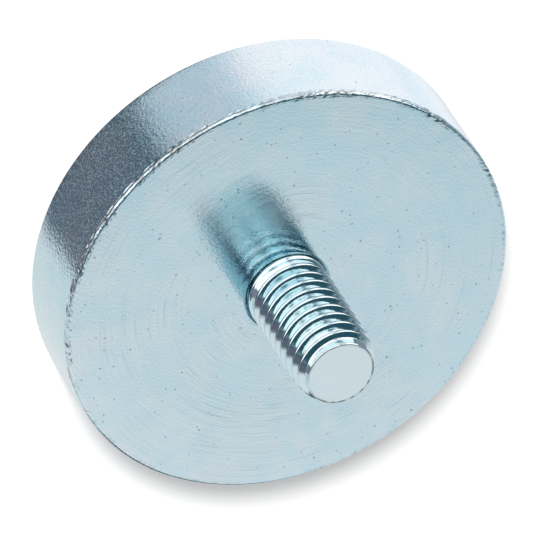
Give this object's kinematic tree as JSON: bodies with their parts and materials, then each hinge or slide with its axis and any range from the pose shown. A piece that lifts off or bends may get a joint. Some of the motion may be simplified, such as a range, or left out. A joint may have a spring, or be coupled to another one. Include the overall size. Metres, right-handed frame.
{
  "type": "pot magnet",
  "caption": "Flat round pot magnet: a turned, zinc-plated steel cup with a resin-potted disc magnet inside and a threaded stud standing on its closed face.",
  "frame": {"origin": "centre of the magnet side, on the surface it stands on", "axes": "+Z along the stud, away from the magnet side; X and Y lie in the magnet side, and the part is round about Z"},
  "size_m": [0.032, 0.032, 0.017],
  "materials": {
    "plated_steel": "satin",
    "plated_stud": "polished",
    "magnet_plating": "satin",
    "resin": "satin"
  },
  "bodies": {
    "root": {"pot": "plated_steel", "threaded_stud": "plated_stud", "magnet": "magnet_plating", "resin_fill": "resin"}
  },
  "joints": []
}
